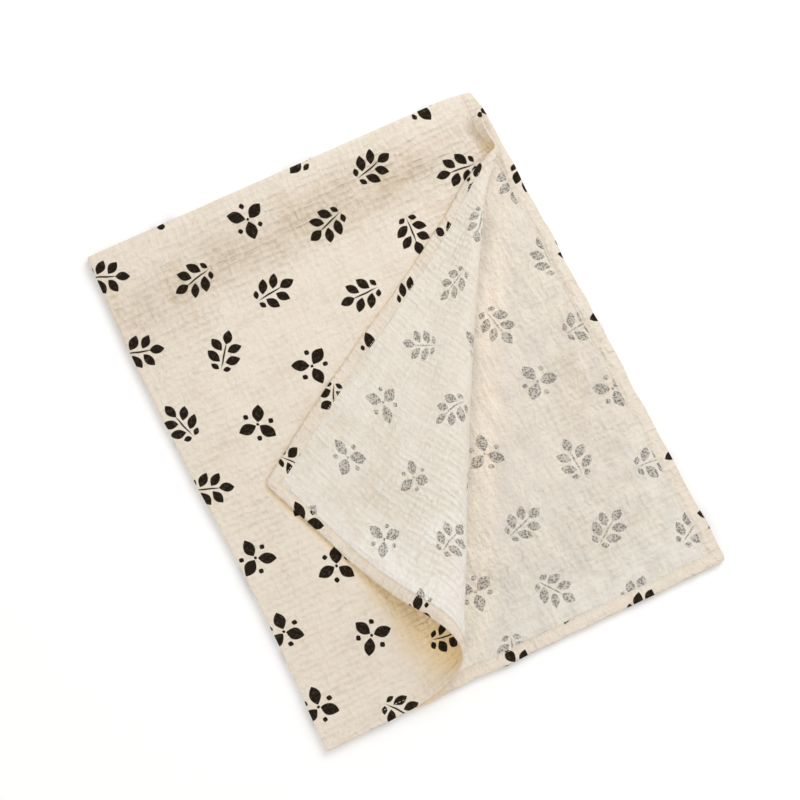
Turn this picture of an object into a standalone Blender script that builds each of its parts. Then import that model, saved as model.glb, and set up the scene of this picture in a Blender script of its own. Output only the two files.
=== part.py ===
# A swaddle blanket of double gauze, folded in quarters and lying flat.
# The free corner of its top layer is turned back over a soft open loop.
# Metres, +Z up. X runs across the folded stack, Y along it, towards the top fold.

import math

import bmesh
import bpy

# The cloth as it is cut and hemmed.
CLOTH_WIDTH = 0.80
CLOTH_LENGTH = 1.00
CLOTH_THICKNESS = 0.0010
HEM_WIDTH = 0.0125
HEM_THICKNESS = 0.00145
HEM_STEP = 0.002
HALF_WIDTH = CLOTH_WIDTH / 2
HALF_LENGTH = CLOTH_LENGTH / 2

# The side fold joins layers 1-2 and 3-4, wrong sides together.
# The top fold then doubles the pair, right sides together inside it.
WRONG_SIDES_GAP = 0.0015
RIGHT_SIDES_GAP = 0.0010
SIDE_FOLD_RADIUS = WRONG_SIDES_GAP / 2 + CLOTH_THICKNESS
TOP_FOLD_RADIUS = SIDE_FOLD_RADIUS + RIGHT_SIDES_GAP / 2
STACK_RADIUS = TOP_FOLD_RADIUS + SIDE_FOLD_RADIUS
STACK_HEIGHT = 2 * STACK_RADIUS

# Outline of the folded stack, corner by corner, before it is centred.
STACK_CORNERS = {
    # corner: (x, y)
    "top_left": (-0.2012, 0.2553),
    "top_right": (0.1880, 0.2440),
    "bottom_right": (0.2115, -0.2500),
    "bottom_left": (-0.1980, -0.2498),
}
SIDE_WAVE = 0.0030

# How far each layer's hems reach past the stack's outline at its open corner.
LAYER_REACH = {
    # (right half, upper half): (across, down)
    (True, True): (0.0, 0.0),
    (False, True): (0.0, 0.0),
    (False, False): (-0.0030, -0.0010),
    (True, False): (-0.0012, -0.0028),
}

# The turned corner. Its crease runs from the right hem down to the bottom hem.
# Both ends are measured across from the side fold and down from the top fold.
CREASE_TOP = (0.3900, 0.0505)
CREASE_BOTTOM = (0.1335, 0.5000)
CREASE_BOW = 0.008
CREASE_BOW_WIDTH = 0.060
LOOP_HEIGHT_TOP = 0.011
LOOP_HEIGHT_BOTTOM = 0.046
LOOP_HEIGHT_LEAST = 0.004
LOOP_LEAN = 0.55
FLAP_GAP = 0.0022
# The crinkled flap is drawn in across its crease, more so where the crease starts.
FLAP_DRAW_IN = 0.913
FLAP_GATHER = 0.28
FLAP_GATHER_LENGTH = 0.150
FLAP_SKEW = 0.222

# The loop's section, in shares of its height: a run of cloth and its slope at the end.
RISING_RUNS = (
    # (run, slope in degrees)
    (0.48, 22),
    (0.27, 29),
    (0.21, 36),
    (0.16, 54),
    (0.16, 75),
    (0.14, 102),
    (0.14, 130),
    (0.14, 155),
    (0.15, 180),
)
FALLING_RUNS = (
    # (run, slope in degrees)
    (0.18, 194),
    (0.20, 205),
    (0.58, 212),
    (0.48, 206),
    (0.48, 199),
    (0.64, 189),
    (0.64, 180),
)
RUN_STEPS = 12

# Soft swellings and hollows that all the layers share, highest on the top layer.
SWELLS = (
    # (across, down, turn in degrees, half length, half width, rise)
    (0.200, 0.016, 0, 0.260, 0.015, 0.0030),
    (0.120, 0.085, -4, 0.090, 0.022, -0.0010),
    (0.300, 0.075, 3, 0.080, 0.018, 0.0014),
    (0.060, 0.210, 80, 0.110, 0.030, 0.0012),
    (0.110, 0.430, 12, 0.075, 0.026, 0.0013),
    (0.330, 0.330, 62, 0.120, 0.024, 0.0016),
    (0.300, 0.462, 3, 0.085, 0.016, 0.0012),
    (0.215, 0.245, 35, 0.090, 0.030, 0.0011),
)
SWELL_BASE = 0.0008

# Spacing of the mesh.
CELLS_ACROSS = 28
CELLS_ALONG = 34
FOLD_SEGMENTS = 4
FINE_ROWS_BELOW_TOP_FOLD = (0.008, 0.016, 0.024, 0.042)
LEAST_EDGE = 0.0010
SNAP_DISTANCE = 1e-6

CLOTH_COLOUR = (0.80, 0.71, 0.60, 1.0)
CLOTH_ROUGHNESS = 0.95

COLLECTION_NAME = "swaddle_blanket"
CLOTH_NAME = "swaddle_cloth"


def clear_scene():
    for item in list(bpy.data.objects):
        bpy.data.objects.remove(item, do_unlink=True)


def blend(low, high, share):
    return low + (high - low) * share


def trace_section(runs, slope):
    """Points (run, along, height) of a curve whose slope changes evenly over each run."""
    points = [(0.0, 0.0, 0.0)]
    for length, end_slope in runs:
        start_slope = slope
        step = length / RUN_STEPS
        for index in range(RUN_STEPS):
            angle = math.radians(blend(start_slope, end_slope, (index + 0.5) / RUN_STEPS))
            run, along, height = points[-1]
            points.append((run + step, along + step * math.cos(angle), height + step * math.sin(angle)))
        slope = end_slope
    return points


def scaled(points, factor):
    return [(run * factor, along * factor, height * factor) for run, along, height in points]


RISING = trace_section(RISING_RUNS, 0)
RISING = scaled(RISING, 1 / RISING[-1][2])
FALLING = trace_section(FALLING_RUNS, 180)
FALLING = scaled(FALLING, -1 / FALLING[-1][2])
# The loop's outermost point: the cloth it takes from the stack, and how far out it is.
LOOP_EDGE_RUN, LOOP_REACH = max(RISING, key=lambda point: point[1])[:2]


def on_section(points, run):
    """Along and height at a run of cloth, read between the section's points."""
    for (run_a, along_a, height_a), (run_b, along_b, height_b) in zip(points, points[1:]):
        if run <= run_b:
            share = (run - run_a) / (run_b - run_a)
            return blend(along_a, along_b, share), blend(height_a, height_b, share)
    return points[-1][1:]


def loop_section(run, height):
    """Distance out from where the cloth leaves the stack, and lift, after a run of cloth."""
    rise_run, crown_reach = RISING[-1][0] * height, RISING[-1][1] * height
    if run <= rise_run:
        reach, lift = on_section(RISING, run / height)
        return reach * height, lift * height
    fall = height - FLAP_GAP
    past_crown = run - rise_run
    reach, drop = on_section(FALLING, past_crown / fall)
    flat_run = max(0.0, past_crown - FALLING[-1][0] * fall)
    return crown_reach + reach * fall - flat_run, height + drop * fall


def crease_axes():
    down_x = CREASE_BOTTOM[0] - CREASE_TOP[0]
    down_y = CREASE_BOTTOM[1] - CREASE_TOP[1]
    length = math.hypot(down_x, down_y)
    down_x /= length
    down_y /= length
    return length, (down_x, down_y), (down_y, -down_x)


CREASE_LENGTH, CREASE_ALONG, CREASE_OUT = crease_axes()


def loop_height(along):
    height = blend(LOOP_HEIGHT_TOP, LOOP_HEIGHT_BOTTOM, along / CREASE_LENGTH)
    return max(height, LOOP_HEIGHT_LEAST)


def turn_back(across, down):
    """Where a point of the top layer goes once the corner is turned back: across, down, lift."""
    from_top = (across - CREASE_TOP[0], down - CREASE_TOP[1])
    along = from_top[0] * CREASE_ALONG[0] + from_top[1] * CREASE_ALONG[1]
    out = from_top[0] * CREASE_OUT[0] + from_top[1] * CREASE_OUT[1]
    height = loop_height(along)
    run = out + LOOP_REACH * height
    if run > 0:
        out, lift = loop_section(run, height)
        out -= LOOP_REACH * height
    else:
        lift = 0.0
    if run > LOOP_EDGE_RUN * height:
        gather = FLAP_GATHER * math.exp(-(along / FLAP_GATHER_LENGTH) ** 2)
        out *= FLAP_DRAW_IN - gather
        along += FLAP_SKEW * out
    along -= LOOP_LEAN * lift
    bow = CREASE_BOW * math.sin(math.pi * max(0.0, min(1.0, along / CREASE_LENGTH)))
    out -= bow * math.exp(-(out / CREASE_BOW_WIDTH) ** 2)
    across = CREASE_TOP[0] + along * CREASE_ALONG[0] + out * CREASE_OUT[0]
    down = CREASE_TOP[1] + along * CREASE_ALONG[1] + out * CREASE_OUT[1]
    return across, down, lift


def side_fold(u):
    """Distance in from the side fold, and height from the middle of the folded pair."""
    quarter = SIDE_FOLD_RADIUS * math.pi / 2
    if abs(u) < quarter:
        turn = u / SIDE_FOLD_RADIUS
        return SIDE_FOLD_RADIUS * (1 - math.cos(turn)), SIDE_FOLD_RADIUS * math.sin(turn)
    return SIDE_FOLD_RADIUS + abs(u) - quarter, math.copysign(SIDE_FOLD_RADIUS, u)


def top_fold(v, pair_height):
    """Distance down from the top fold, and height above the surface the stack rests on."""
    quarter = TOP_FOLD_RADIUS * math.pi / 2
    turn = max(-math.pi / 2, min(math.pi / 2, v / TOP_FOLD_RADIUS))
    radius = TOP_FOLD_RADIUS + pair_height
    down = STACK_RADIUS - radius * math.cos(turn) + max(0.0, abs(v) - quarter)
    return down, STACK_RADIUS + radius * math.sin(turn)


def swell(across, down):
    rise = SWELL_BASE
    for centre_across, centre_down, turn, half_length, half_width, height in SWELLS:
        angle = math.radians(turn)
        offset = (across - centre_across, down - centre_down)
        lengthways = (offset[0] * math.cos(angle) + offset[1] * math.sin(angle)) / half_length
        widthways = (offset[1] * math.cos(angle) - offset[0] * math.sin(angle)) / half_width
        rise += height * math.exp(-(lengthways ** 2 + widthways ** 2))
    return rise


def outline_place(across, down):
    """From distances across and down to X and Y inside the stack's uneven outline."""
    share_x = across / HALF_WIDTH
    share_y = down / HALF_LENGTH
    top = [blend(a, b, share_x) for a, b in zip(STACK_CORNERS["top_left"], STACK_CORNERS["top_right"])]
    foot = [blend(a, b, share_x) for a, b in zip(STACK_CORNERS["bottom_left"], STACK_CORNERS["bottom_right"])]
    x = blend(top[0], foot[0], share_y)
    y = blend(top[1], foot[1], share_y)
    return x - SIDE_WAVE * math.sin(2 * math.pi * share_y) * (1 - share_x), y


def folded_place(u, v):
    """Where a point of the flat cloth lies in the folded blanket."""
    across, pair_height = side_fold(u)
    down, z = top_fold(v, pair_height)
    reach_across, reach_down = LAYER_REACH[(u > 0, v > 0)]
    fan = abs(u) / HALF_WIDTH * abs(v) / HALF_LENGTH
    across += reach_across * fan
    down += reach_down * fan
    lift = 0.0
    if u > 0 and v > 0:
        across, down, lift = turn_back(across, down)
    x, y = outline_place(across, down)
    return x, y, z + lift + swell(across, down) * z / STACK_HEIGHT


def score(mesh, point, normal, faces=None):
    """Cut an edge line into the flat cloth, all over it or only in the given faces."""
    faces = list(mesh.faces) if faces is None else faces
    edges = {edge for face in faces for edge in face.edges}
    corners = {vertex for face in faces for vertex in face.verts}
    bmesh.ops.bisect_plane(
        mesh, geom=[*faces, *edges, *corners], dist=SNAP_DISTANCE,
        plane_co=(point[0], point[1], 0), plane_no=(normal[0], normal[1], 0))


def score_folds(mesh):
    side_half = SIDE_FOLD_RADIUS * math.pi / 2
    top_half = TOP_FOLD_RADIUS * math.pi / 2
    for index in range(FOLD_SEGMENTS + 1):
        share = 2 * index / FOLD_SEGMENTS - 1
        score(mesh, (side_half * share, 0), (1, 0))
        score(mesh, (0, top_half * share), (0, 1))
    for row in FINE_ROWS_BELOW_TOP_FOLD:
        score(mesh, (0, row), (0, 1))


def score_hems(mesh):
    for inset in (HEM_WIDTH, HEM_WIDTH + HEM_STEP):
        for side in (-1, 1):
            score(mesh, (side * (HALF_WIDTH - inset), 0), (1, 0))
            score(mesh, (0, side * (HALF_LENGTH - inset)), (0, 1))


def loop_line_ends(share, height_of_run):
    """Two points, in the flat cloth, of the line that a share of the loop's section follows."""
    ends = []
    for along in (0.0, CREASE_LENGTH):
        out = height_of_run(share, loop_height(along))
        ends.append((
            CREASE_TOP[0] + along * CREASE_ALONG[0] + out * CREASE_OUT[0],
            CREASE_TOP[1] + along * CREASE_ALONG[1] + out * CREASE_OUT[1]))
    return ends


def rising_run(share, height):
    return (share - LOOP_REACH) * height


def falling_run(share, height):
    return (RISING[-1][0] - LOOP_REACH) * height + share * (height - FLAP_GAP)


def score_loop(mesh):
    shares = [(RISING[index * RUN_STEPS][0], rising_run) for index in range(len(RISING_RUNS) + 1)]
    shares += [(FALLING[index * RUN_STEPS][0], falling_run) for index in range(1, len(FALLING_RUNS) + 1)]
    # Distances across and down start at the folds' outer edges, and the flat cloth at their middles.
    across_start = side_fold(HALF_WIDTH)[0] - HALF_WIDTH
    down_start = top_fold(HALF_LENGTH, SIDE_FOLD_RADIUS)[0] - HALF_LENGTH
    for share, height_of_run in shares:
        first, last = loop_line_ends(share, height_of_run)
        point = (first[0] - across_start, first[1] - down_start)
        normal = (last[1] - first[1], first[0] - last[0])
        top_layer = [
            face for face in mesh.faces
            if face.calc_center_median().x > 0 and face.calc_center_median().y > 0]
        score(mesh, point, normal, top_layer)


def hem_weight(u, v):
    """Thickness at a point of the flat cloth, as a share of the hem's."""
    inset = min(HALF_WIDTH - abs(u), HALF_LENGTH - abs(v))
    plain = CLOTH_THICKNESS / HEM_THICKNESS
    share = max(0.0, min(1.0, (inset - HEM_WIDTH) / HEM_STEP))
    return blend(1.0, plain, share)


def make_flat_cloth():
    mesh = bmesh.new()
    bmesh.ops.create_grid(mesh, x_segments=CELLS_ACROSS, y_segments=CELLS_ALONG, size=1.0)
    for vertex in mesh.verts:
        vertex.co.x *= HALF_WIDTH
        vertex.co.y *= HALF_LENGTH
    score_folds(mesh)
    score_hems(mesh)
    score_loop(mesh)
    # Where lines cross close to a corner of the grid, their points are made one.
    bmesh.ops.remove_doubles(mesh, verts=mesh.verts, dist=LEAST_EDGE)
    bmesh.ops.triangulate(mesh, faces=mesh.faces)
    return mesh


def centre_on_origin(mesh):
    for axis in (0, 1):
        places = [vertex.co[axis] for vertex in mesh.verts]
        middle = (min(places) + max(places)) / 2
        for vertex in mesh.verts:
            vertex.co[axis] -= middle


def make_cloth_material():
    material = bpy.data.materials.new("cream_double_gauze")
    material.use_nodes = True
    surface = material.node_tree.nodes["Principled BSDF"]
    surface.inputs["Base Color"].default_value = CLOTH_COLOUR
    surface.inputs["Roughness"].default_value = CLOTH_ROUGHNESS
    surface.inputs["Metallic"].default_value = 0.0
    material.diffuse_color = CLOTH_COLOUR
    return material


def make_cloth(collection):
    flat = make_flat_cloth()
    weights = [hem_weight(vertex.co.x, vertex.co.y) for vertex in flat.verts]
    for vertex in flat.verts:
        vertex.co = folded_place(vertex.co.x, vertex.co.y)
    # Folding leaves the faces looking at the wrong side of the cloth.
    bmesh.ops.reverse_faces(flat, faces=flat.faces)
    centre_on_origin(flat)
    data = bpy.data.meshes.new(CLOTH_NAME)
    flat.to_mesh(data)
    flat.free()

    cloth = bpy.data.objects.new(CLOTH_NAME, data)
    collection.objects.link(cloth)
    hem = cloth.vertex_groups.new(name="thickness")
    for index, weight in enumerate(weights):
        hem.add([index], weight, "REPLACE")
    wall = cloth.modifiers.new("wrong_side", "SOLIDIFY")
    wall.thickness = HEM_THICKNESS
    wall.offset = -1.0
    wall.vertex_group = hem.name
    wall.thickness_vertex_group = 0.0
    data.shade_smooth()
    data.materials.append(make_cloth_material())
    return cloth


def main():
    clear_scene()
    collection = bpy.data.collections.new(COLLECTION_NAME)
    bpy.context.scene.collection.children.link(collection)
    make_cloth(collection)


main()
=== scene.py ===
import math

import bmesh
import bpy
import numpy as np
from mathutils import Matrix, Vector, noise
from mathutils.bvhtree import BVHTree


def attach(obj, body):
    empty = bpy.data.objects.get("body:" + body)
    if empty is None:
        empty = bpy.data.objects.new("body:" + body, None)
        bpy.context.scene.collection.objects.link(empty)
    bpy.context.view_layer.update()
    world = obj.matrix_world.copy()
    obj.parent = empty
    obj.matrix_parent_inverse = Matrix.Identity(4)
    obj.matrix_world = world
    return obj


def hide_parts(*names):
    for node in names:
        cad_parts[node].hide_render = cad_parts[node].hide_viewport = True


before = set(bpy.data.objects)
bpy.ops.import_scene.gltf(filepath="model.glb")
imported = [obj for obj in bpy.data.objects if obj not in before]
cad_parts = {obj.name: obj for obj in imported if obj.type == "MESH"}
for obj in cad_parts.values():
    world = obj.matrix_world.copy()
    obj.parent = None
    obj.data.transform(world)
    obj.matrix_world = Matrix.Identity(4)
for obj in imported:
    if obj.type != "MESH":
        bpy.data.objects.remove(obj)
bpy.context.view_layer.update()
bpy.ops.object.select_all(action="DESELECT")


def portion(value, first, last):
    # how far a value is from the first to the last, kept from 0 to 1
    return np.clip((value - first) / (last - first), 0, 1)


# The cloth, in metres.
cloth = {
    "width": 0.8,
    "length": 1.0,
    "thickness": 0.001,
    "hemWidth": 0.0125,
    "hemThickness": 0.0015,
    "puffedHem": 0.0023,  # where nothing lies on it, on the turned corner
    "squeezed": 0.6,  # how much thinner a hem is inside the side fold
    "squeezeReach": 0.006,
    "hemStep": 0.0006,  # half the width over which a hem's thickness starts
    "puffFrom": (0.6, 0.68),  # where the hem puffs up, by u + v
    "puffMiddle": 0.0055,
    "cornerRadius": 0.006,
    "tuckReach": 0.018,  # the folded corner by the hems is tucked in a little
    "tuck": (-0.0045, 0.003),
    "wrongSidesGap": 0.0015,
    "rightSidesGap": 0.001,
    "fineCell": 0.004,  # the two upper layers
    "coarseCell": 0.018,  # the two lower ones, seen only at their edges
    "foldSteps": 8,
    # lines of the mesh, in from each edge and past the hem's inner edge
    "edgeLines": (0.0, 0.0012, 0.006),
    "hemLines": (-0.0012, 0.0, 0.0012, 0.004),
    "leastEdge": 0.0005,
    "middlePoints": (161, 201),
}
halfWidth = cloth["width"] / 2
halfLength = cloth["length"] / 2
sideRadius = cloth["wrongSidesGap"] / 2 + cloth["thickness"]
topRadius = sideRadius + cloth["rightSidesGap"] / 2
stackRadius = topRadius + sideRadius
stackHeight = 2 * stackRadius

# Outline of the folded stack, before it is centred on the frame.
outline = {
    "topLeft": (-0.2012, 0.2553),
    "topRight": (0.188, 0.244),
    "bottomRight": (0.2115, -0.25),
    "bottomLeft": (-0.198, -0.2498),
    "sideWave": 0.003,
}
# (u sign, v sign): how far the layer's hems reach across and down past the outline, or are set back
layerReach = {
    (1, 1): (0.0, 0.0),
    (-1, 1): (0.0, 0.0),
    (-1, -1): (-0.003, -0.001),
    (1, -1): (-0.0012, -0.0028),
}

# The turned corner and the loop it makes.
corner = {
    "creaseTop": (0.39, 0.0505),
    "creaseBottom": (0.1335, 0.5),
    "bow": 0.008,
    "bowWidth": 0.06,
    "heightTop": 0.011,
    "heightBottom": 0.046,
    "heightLeast": 0.004,
    "lean": 0.75,
    "gap": 0.0022,
    "pressed": (0.0015, 0.04, 0.26, 0.12),  # its long hem lies closer: depth, width, middle, reach
    "drawIn": 0.913,
    "gather": 0.28,
    "gatherLength": 0.15,
    "skew": 0.222,
    # by the top fold the hem rises in a lip before it turns: where along the crease, length, size
    "lateTurn": (0.005, 0.028, 0.01),
    "lipRise": (-0.014, 0.026, 0.019),
    "lipPull": (-0.004, 0.02, 0.009),
    "pullStart": (-0.01, 0.02),
    "leanStart": (-0.02, 0.13),
    # a run of cloth, in shares of the loop's height, and its slope at the end
    "rising": ((0.48, 22), (0.27, 29), (0.21, 36), (0.16, 54), (0.16, 75),
               (0.14, 102), (0.14, 130), (0.14, 155), (0.15, 180)),
    "falling": ((0.18, 194), (0.2, 205), (0.58, 212), (0.48, 206), (0.48, 199),
                (0.64, 189), (0.64, 180)),
    "steps": 12,
    # the mesh has lines along the loop, each some steps from the last, and finer cells at the lip
    "lineSteps": (4, 6),
    "lineStart": 0.15,
    "lineReach": 2,
    "lipReach": 0.062,
}

# Swellings that all layers share: across, down, turn, half length, half width, rise.
swells = (
    (0.2, 0.009, 0, 0.26, 0.014, 0.0029),
    (0.12, 0.085, -4, 0.09, 0.022, -0.001),
    (0.3, 0.075, 3, 0.08, 0.018, 0.0014),
    (0.06, 0.21, 80, 0.11, 0.03, 0.0012),
    (0.11, 0.43, 12, 0.075, 0.026, 0.0013),
    (0.33, 0.33, 62, 0.12, 0.024, 0.0016),
    (0.3, 0.462, 3, 0.085, 0.016, 0.0012),
    (0.215, 0.245, 35, 0.09, 0.03, 0.0011),
)
swellBase = 0.0008


def traceSection(runs, slope):
    points = [(0.0, 0.0, 0.0)]
    for length, endSlope in runs:
        step = length / corner["steps"]
        for index in range(corner["steps"]):
            share = (index + 0.5) / corner["steps"]
            angle = math.radians(slope + (endSlope - slope) * share)
            run, along, height = points[-1]
            points.append(
                (run + step, along + step * math.cos(angle), height + step * math.sin(angle)))
        slope = endSlope
    return np.array(points)


rising = traceSection(corner["rising"], 0)
rising /= rising[-1, 2]
falling = traceSection(corner["falling"], 180)
falling /= -falling[-1, 2]
edgeRun, loopReach = rising[rising[:, 1].argmax(), :2]

creaseStart = np.array(corner["creaseTop"])
creaseSpan = np.array(corner["creaseBottom"]) - creaseStart
creaseLength = np.hypot(*creaseSpan)
creaseAlong = creaseSpan / creaseLength
creaseOut = np.array((creaseAlong[1], -creaseAlong[0]))


def hump(along, name):
    at, length, size = corner[name]
    return size * np.exp(-((along - at) / length) ** 2)


def loopHeight(along):
    rise = corner["heightBottom"] - corner["heightTop"]
    height = corner["heightTop"] + rise * along / creaseLength
    return np.maximum(height + hump(along, "lipRise"), corner["heightLeast"])


def loopSection(run, height):
    fall = height - corner["gap"]
    past = run - rising[-1, 0] * height
    flat = np.maximum(0, past - falling[-1, 0] * fall)
    upReach = np.interp(run / height, rising[:, 0], rising[:, 1]) * height
    upLift = np.interp(run / height, rising[:, 0], rising[:, 2]) * height
    downReach = np.interp(past / fall, falling[:, 0], falling[:, 1]) * fall - flat
    downReach += rising[-1, 1] * height
    downLift = height + np.interp(past / fall, falling[:, 0], falling[:, 2]) * fall
    return np.where(past <= 0, upReach, downReach), np.where(past <= 0, upLift, downLift)


def turnBack(across, down):
    # the top layer's cloth past the crease goes up the loop, over it and back down
    fromTop = (across - creaseStart[0], down - creaseStart[1])
    along = fromTop[0] * creaseAlong[0] + fromTop[1] * creaseAlong[1]
    shift = hump(along, "lateTurn")
    depth, width, middle, reach = corner["pressed"]
    pressed = depth * portion(halfWidth - across, width, 0) * np.exp(-((down - middle) / reach) ** 2)
    out = fromTop[0] * creaseOut[0] + fromTop[1] * creaseOut[1] - shift
    height = loopHeight(along)
    run = out + loopReach * height
    bent, lift = loopSection(np.maximum(run, 0), height)
    out = np.where(run > 0, bent - loopReach * height, out)
    lift = np.where(run > 0, lift, 0)
    turned = run > edgeRun * height
    lift = np.where(turned, np.maximum(lift - pressed, np.minimum(lift, corner["gap"] - depth)), lift)
    gather = corner["gather"] * np.exp(-(along / corner["gatherLength"]) ** 2)
    out = np.where(turned, out * (corner["drawIn"] - gather), out)
    along = np.where(turned, along + corner["skew"] * out, along)
    out = out + shift - hump(along, "lipPull") * portion(run, *corner["pullStart"])
    along = along - corner["lean"] * portion(along, *corner["leanStart"]) * lift
    bow = corner["bow"] * np.sin(np.pi * portion(along, 0, creaseLength))
    out = out - bow * np.exp(-(out / corner["bowWidth"]) ** 2)
    across = creaseStart[0] + along * creaseAlong[0] + out * creaseOut[0]
    down = creaseStart[1] + along * creaseAlong[1] + out * creaseOut[1]
    return across, down, lift


def foldStack(u, v):
    # the side fold, then the top fold round it
    quarter = sideRadius * math.pi / 2
    turn = np.clip(u / sideRadius, -math.pi / 2, math.pi / 2)
    across = sideRadius * (1 - np.cos(turn)) + np.maximum(0, abs(u) - quarter)
    pairHeight = sideRadius * np.sin(turn)
    turn = np.clip(v / topRadius, -math.pi / 2, math.pi / 2)
    radius = topRadius + pairHeight
    down = stackRadius - radius * np.cos(turn) + np.maximum(0, abs(v) - topRadius * math.pi / 2)
    return across, down, stackRadius + radius * np.sin(turn)


def mounds(a, b, table):
    # long soft mounds: middle, turn in degrees, half length, half width, height
    total = np.zeros_like(a)
    for centreA, centreB, turn, halfLong, halfWide, height in table:
        angle = math.radians(turn)
        offset = (a - centreA, b - centreB)
        lengthways = (offset[0] * math.cos(angle) + offset[1] * math.sin(angle)) / halfLong
        widthways = (offset[1] * math.cos(angle) - offset[0] * math.sin(angle)) / halfWide
        total += height * np.exp(-(lengthways ** 2 + widthways ** 2))
    return total


def outlinePlace(across, down):
    # the square stack drawn to the outline's four corners
    shareX = across / halfWidth
    shareY = down / halfLength
    places = []
    for topLeft, topRight, bottomLeft, bottomRight in zip(
            *(outline[name] for name in ("topLeft", "topRight", "bottomLeft", "bottomRight"))):
        top = topLeft + (topRight - topLeft) * shareX
        foot = bottomLeft + (bottomRight - bottomLeft) * shareX
        places.append(top + (foot - top) * shareY)
    wave = outline["sideWave"] * np.sin(2 * math.pi * shareY) * (1 - shareX)
    return places[0] - wave, places[1]


def roundCorners(u, v):
    radius = cloth["cornerRadius"]
    nearSide = portion(abs(u), halfWidth - radius, halfWidth)
    nearFoot = portion(abs(v), halfLength - radius, halfLength)
    lessU = nearSide * (1 - np.sqrt(1 - nearFoot ** 2 / 2)) * radius
    lessV = nearFoot * (1 - np.sqrt(1 - nearSide ** 2 / 2)) * radius
    return u - np.sign(u) * lessU, v - np.sign(v) * lessV


def foldedPlace(u, v):
    u, v = roundCorners(u, v)
    across, down, z = foldStack(u, v)
    fan = abs(u) / halfWidth * abs(v) / halfLength
    for (signU, signV), (reachAcross, reachDown) in layerReach.items():
        layer = (np.where(u > 0, 1, -1) == signU) & (np.where(v > 0, 1, -1) == signV)
        across = across + reachAcross * fan * layer
        down = down + reachDown * fan * layer
    tucked = np.exp(-((across - halfWidth) ** 2 + down ** 2) / cloth["tuckReach"] ** 2)
    across = across + cloth["tuck"][0] * tucked
    down = down + cloth["tuck"][1] * tucked
    turnedAcross, turnedDown, lift = turnBack(across, down)
    top = (u > 0) & (v > 0)
    across = np.where(top, turnedAcross, across)
    down = np.where(top, turnedDown, down)
    lift = np.where(top, lift, 0)
    x, y = outlinePlace(across, down)
    rise = swellBase + mounds(across, down, swells)
    return np.stack([x, y, z + lift + rise * z / stackHeight], 1)


# Creases pressed into the two upper layers.
creases = {
    # u, v, turn in degrees, half length, half width, height: a ridge above 0, a trough below
    "places": (
        (0.3, 0.402, 0, 0.09, 0.0028, -0.0008),
        (0.3, 0.3865, 1, 0.085, 0.003, 0.0007),
        (0.295, 0.437, -1, 0.08, 0.003, -0.0006),
        (0.275, 0.467, 0, 0.08, 0.0036, 0.0007),
        (0.335, 0.345, 3, 0.055, 0.003, -0.0006),
        (0.091, 0.18, 98, 0.045, 0.003, 0.0007),
        (0.101, 0.178, 98, 0.042, 0.0028, -0.0006),
        (0.376, 0.356, 55, 0.035, 0.003, 0.0005),
        (0.364, 0.15, 20, 0.025, 0.003, 0.001),
        (0.37, 0.125, 12, 0.025, 0.0032, 0.0011),
        (0.36, 0.175, 28, 0.028, 0.0032, 0.0009),
        (0.369, 0.032, 78, 0.03, 0.0085, 0.001),
        (-0.33, 0.4, 70, 0.06, 0.004, 0.0006),
        (-0.364, 0.32, 91, 0.12, 0.0032, -0.0008),
        (-0.356, 0.33, 91, 0.11, 0.0032, 0.0007),
        (-0.342, 0.26, 88, 0.09, 0.003, -0.0005),
        (-0.3, 0.235, 62, 0.05, 0.004, 0.0006),
    ),
    "puckerHeight": 0.00035,
    "puckerSizes": (0.03, 0.011),
    "backPucker": 3.0,  # the layer with its wrong side up is more uneven, down the cloth
    "backFrom": (0.02, -0.02),
    "upperFrom": (0, 0.01),  # the lower layers are left smooth
    "rippleHeight": 0.0006,
    "rippleSizes": (0.055, 0.055),
    "edgeWander": ((0.001, 0.034), (0.0009, 0.019)),  # how far, and how long each wave is
    "edgePower": 6,  # the higher, the closer to the edge the wander stays
    "seed": 4.7,
    "nearby": 0.0004,  # how far apart the points are that give the cloth's normal
    "crush": 0.12,  # how crinkled all of the gauze is
}
# Where the gauze is most crinkled, with most painted shade: u, v, turn, half length, half width, strength.
crushed = (
    (0.15, 0.05, -1, 0.165, 0.032, 0.8),
    (0.3, 0.048, 0, 0.09, 0.029, 0.5),
    (0.04, 0.09, 0, 0.08, 0.035, 0.26),
    (0.03, 0.26, 90, 0.22, 0.05, 0.3),
    (0.17, 0.44, 0, 0.15, 0.08, 0.3),
    (0.36, 0.15, 60, 0.11, 0.04, 0.24),
    (0.31, 0.42, 0, 0.1, 0.06, 0.2),
    (-0.27, 0.43, 0, 0.12, 0.05, 0.4),
    (-0.36, 0.29, 80, 0.12, 0.045, 0.46),
    (-0.25, 0.15, 60, 0.09, 0.05, 0.12),
)


def softNoise(a, b, sizes, seed):
    points = zip(a / sizes[0], b / sizes[1])
    return np.array([noise.noise(Vector((x, y, seed))) for x, y in points])


def wanderEdges(u, v, places):
    # the hems aren't quite straight, and each layer's own way
    nearSide = (abs(u) / halfWidth) ** creases["edgePower"]
    nearFoot = (abs(v) / halfLength) ** creases["edgePower"]
    seed = creases["seed"]
    for amount, size in creases["edgeWander"]:
        layer = size / 3  # sets the layers apart in the noise
        places[:, 0] += amount * nearSide * softNoise(v, np.sign(u) * layer, (size, size), seed + 1)
        places[:, 1] += amount * nearFoot * softNoise(u, np.sign(v) * layer, (size, size), seed + 2)
    return places


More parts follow.
